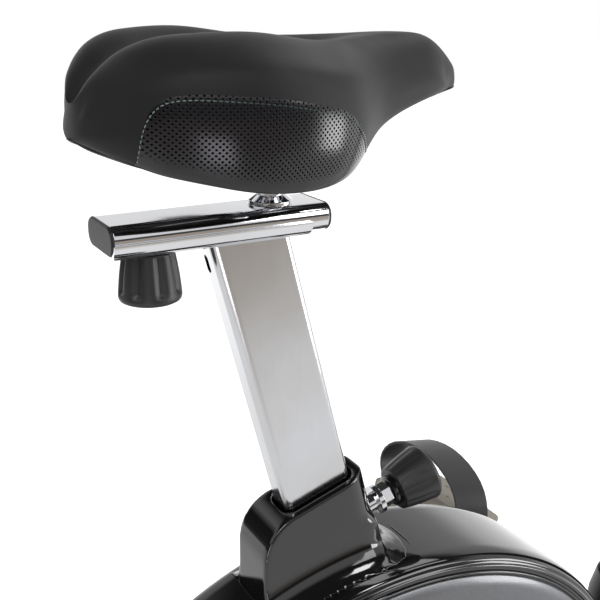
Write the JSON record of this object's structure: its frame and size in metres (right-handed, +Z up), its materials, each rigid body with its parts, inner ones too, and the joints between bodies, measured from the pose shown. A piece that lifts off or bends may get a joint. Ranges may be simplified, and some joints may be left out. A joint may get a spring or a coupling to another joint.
{
  "type": "exercise bike",
  "caption": "Upright magnetic exercise bike: padded saddle on a chrome slider and leaning post, moulded drive casing, strapped pedals, bent handlebar and console.",
  "frame": {"origin": "on the floor under the middle of the footprint", "axes": "+Z up, the rider faces -Y, the rider's left is +X"},
  "size_m": [0.545, 0.96, 1.2763],
  "materials": {
    "frame_paint": "black powder coat",
    "black_plastic": "fine satin",
    "gloss_black": "polished",
    "grey_panel": "metallic grey, satin",
    "chrome": "mirror",
    "bright_steel": "zinc plated",
    "cover_black": "matte synthetic leather",
    "cover_gloss": "glossy perforated sheet",
    "flywheel_iron": "turned and painted",
    "rubber": "soft grip",
    "pedal_tread": "dotted tread",
    "crank_metal": "satin black",
    "lens": "clear window over a grey display",
    "wheel_plastic": "moulded"
  },
  "bodies": {
    "frame": {"main_frame": "frame_paint", "front_stabiliser": "frame_paint", "rear_stabiliser": "frame_paint", "front_foot_caps": "black_plastic", "rear_foot_caps": "black_plastic", "frame_bolts": "bright_steel", "casing_right": "gloss_black", "casing_left": "gloss_black", "side_panel_right": "grey_panel", "side_panel_left": "grey_panel", "seat_collar": "gloss_black", "post_sleeve": "black_plastic", "mast_shroud": "black_plastic", "casing_screws": "bright_steel", "cartridge_bearings": "bright_steel", "drive_belt": "rubber", "tension_motor": "black_plastic", "mast": "frame_paint", "console_back": "black_plastic", "console_front": "black_plastic", "display_lens": "lens", "handlebar_clamp_cover": "black_plastic", "pin_housing": "chrome", "plunger_spring": "bright_steel"},
    "seat_post": {"seat_post": "chrome", "slider_channel": "chrome", "slider_nut_plate": "bright_steel"},
    "slider_knob": {"slider_knob": "black_plastic", "slider_knob_stud": "bright_steel"},
    "slider": {"slider_tube": "chrome", "slider_end_caps": "black_plastic", "saddle_clamp": "chrome"},
    "saddle": {"saddle_clamp_cheeks": "black_plastic", "saddle_rails": "bright_steel", "saddle_pan": "black_plastic", "saddle_cover": "cover_black", "saddle_side_panels": "cover_gloss"},
    "height_pin": {"height_plunger": "chrome"},
    "height_knob": {"height_knob": "black_plastic"},
    "crank": {"crank_axle": "bright_steel", "drive_pulley": "black_plastic", "left_crank": "crank_metal", "right_crank": "crank_metal", "crank_caps": "black_plastic", "pedal_axles": "bright_steel"},
    "left_pedal": {"left_pedal": "pedal_tread", "left_strap": "rubber"},
    "right_pedal": {"right_pedal": "pedal_tread", "right_strap": "rubber"},
    "flywheel": {"flywheel": "flywheel_iron", "flywheel_shaft": "bright_steel"},
    "magnet_arm": {"magnet_arm": "bright_steel", "brake_magnets": "bright_steel"},
    "handlebar": {"handlebar": "frame_paint", "handlebar_grips": "rubber"},
    "handlebar_knob": {"handlebar_knob": "black_plastic"},
    "left_button": {"left_button": "black_plastic"},
    "right_button": {"right_button": "black_plastic"},
    "left_transport_wheel": {"left_transport_wheel": "wheel_plastic"},
    "right_transport_wheel": {"right_transport_wheel": "wheel_plastic"}
  },
  "joints": [
    {"name": "seat_height", "type": "slide", "parent": "frame", "child": "seat_post", "axis": [0, 0.2588, 0.9659], "range_m": [-0.2, 0.1]},
    {"name": "slider_knob_turn", "type": "hinge", "parent": "seat_post", "child": "slider_knob", "pos_m": [0, 0.1996, 0.82], "axis": [0, 0, 1], "continuous": true},
    {"name": "slider_travel", "type": "slide", "parent": "seat_post", "child": "slider", "axis": [0, -1, 0], "range_m": [-0.06, 0.01]},
    {"name": "saddle_tilt", "type": "hinge", "parent": "slider", "child": "saddle", "pos_m": [0, 0.1284, 0.884], "axis": [1, 0, 0], "range_deg": [-6, 6]},
    {"name": "height_pin", "type": "slide", "parent": "frame", "child": "height_pin", "axis": [0, -0.9659, 0.2588], "range_m": [0, 0.008], "stiffness_N_per_m": 1500, "springref_m": -0.006, "deforming": ["plunger_spring"]},
    {"name": "height_knob_turn", "type": "hinge", "parent": "height_pin", "child": "height_knob", "pos_m": [0, 0.05634, 0.5735], "axis": [0, -0.9659, 0.2588], "continuous": true},
    {"name": "crank_spin", "type": "hinge", "parent": "frame", "child": "crank", "pos_m": [0, -0.09, 0.3], "axis": [1, 0, 0], "continuous": true},
    {"name": "left_pedal_spin", "type": "hinge", "parent": "crank", "child": "left_pedal", "pos_m": [0.17, -0.2127, 0.41766], "axis": [1, 0, 0], "continuous": true},
    {"name": "right_pedal_spin", "type": "hinge", "parent": "crank", "child": "right_pedal", "pos_m": [-0.17, 0.0327, 0.18234], "axis": [1, 0, 0], "continuous": true},
    {"name": "flywheel_spin", "type": "hinge", "parent": "frame", "child": "flywheel", "pos_m": [0, 0.165, 0.3], "axis": [1, 0, 0], "continuous": true},
    {"name": "brake_arm", "type": "hinge", "parent": "frame", "child": "magnet_arm", "pos_m": [0, 0.16022, 0.43692], "axis": [1, 0, 0], "range_deg": [0, 3]},
    {"name": "handlebar_tilt", "type": "hinge", "parent": "frame", "child": "handlebar", "pos_m": [0, -0.3173, 1.12], "axis": [1, 0, 0], "range_deg": [-15, 15]},
    {"name": "handlebar_knob_turn", "type": "hinge", "parent": "frame", "child": "handlebar_knob", "pos_m": [0, -0.3, 1.092], "axis": [0, 1, 0], "continuous": true},
    {"name": "left_button", "type": "slide", "parent": "frame", "child": "left_button", "axis": [0, -0.6428, -0.766], "range_m": [0, 0.0015], "stiffness_N_per_m": 400, "springref_m": -0.001},
    {"name": "right_button", "type": "slide", "parent": "frame", "child": "right_button", "axis": [0, -0.6428, -0.766], "range_m": [0, 0.0015], "stiffness_N_per_m": 400, "springref_m": -0.001},
    {"name": "left_wheel_spin", "type": "hinge", "parent": "frame", "child": "left_transport_wheel", "pos_m": [0.212, -0.455, 0.031], "axis": [1, 0, 0], "continuous": true},
    {"name": "right_wheel_spin", "type": "hinge", "parent": "frame", "child": "right_transport_wheel", "pos_m": [-0.212, -0.455, 0.031], "axis": [1, 0, 0], "continuous": true}
  ],
  "couplings": [
    {"joint": "flywheel_spin", "follows": "crank_spin", "ratio": 5.9091}
  ]
}
